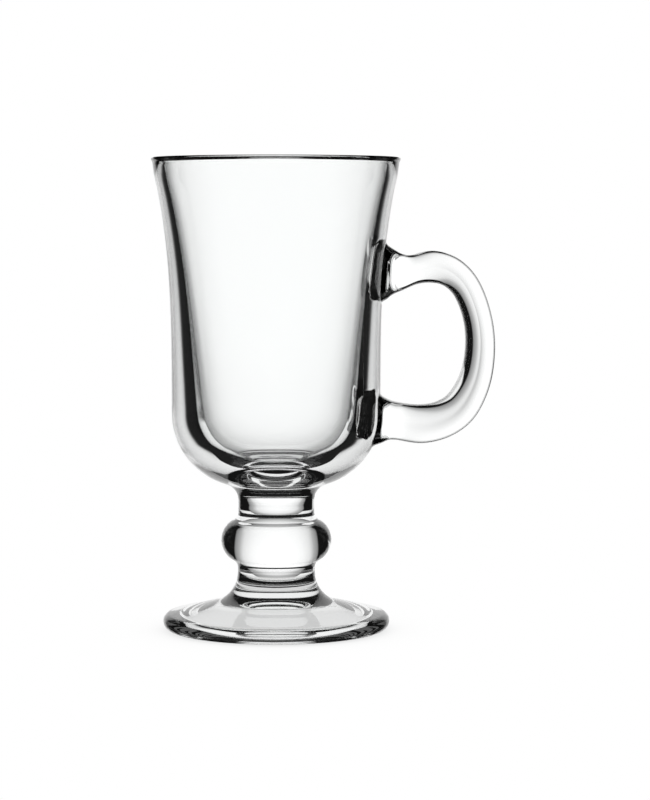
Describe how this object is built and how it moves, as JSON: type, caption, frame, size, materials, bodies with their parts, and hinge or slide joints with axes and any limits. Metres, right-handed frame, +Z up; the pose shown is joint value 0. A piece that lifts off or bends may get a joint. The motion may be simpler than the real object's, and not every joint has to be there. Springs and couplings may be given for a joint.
{
  "type": "irish coffee mug",
  "caption": "Thick pressed glass mug for hot drinks: a flared bowl with a D handle, on a short stem with a rounded knop and a round foot.",
  "frame": {"origin": "on the bowl's axis, in the plane that the foot rests on", "axes": "+Z up along the axis, +X towards the handle, the mirror plane is XZ"},
  "size_m": [0.1075, 0.078, 0.148],
  "materials": {
    "bowl_glass": "clear fire-polished soda-lime glass",
    "handle_glass": "clear pressed soda-lime glass",
    "stem_glass": "clear solid pressed soda-lime glass",
    "foot_glass": "clear pressed soda-lime glass"
  },
  "bodies": {
    "root": {"bowl": "bowl_glass", "handle": "handle_glass", "stem": "stem_glass", "foot": "foot_glass"}
  },
  "joints": []
}
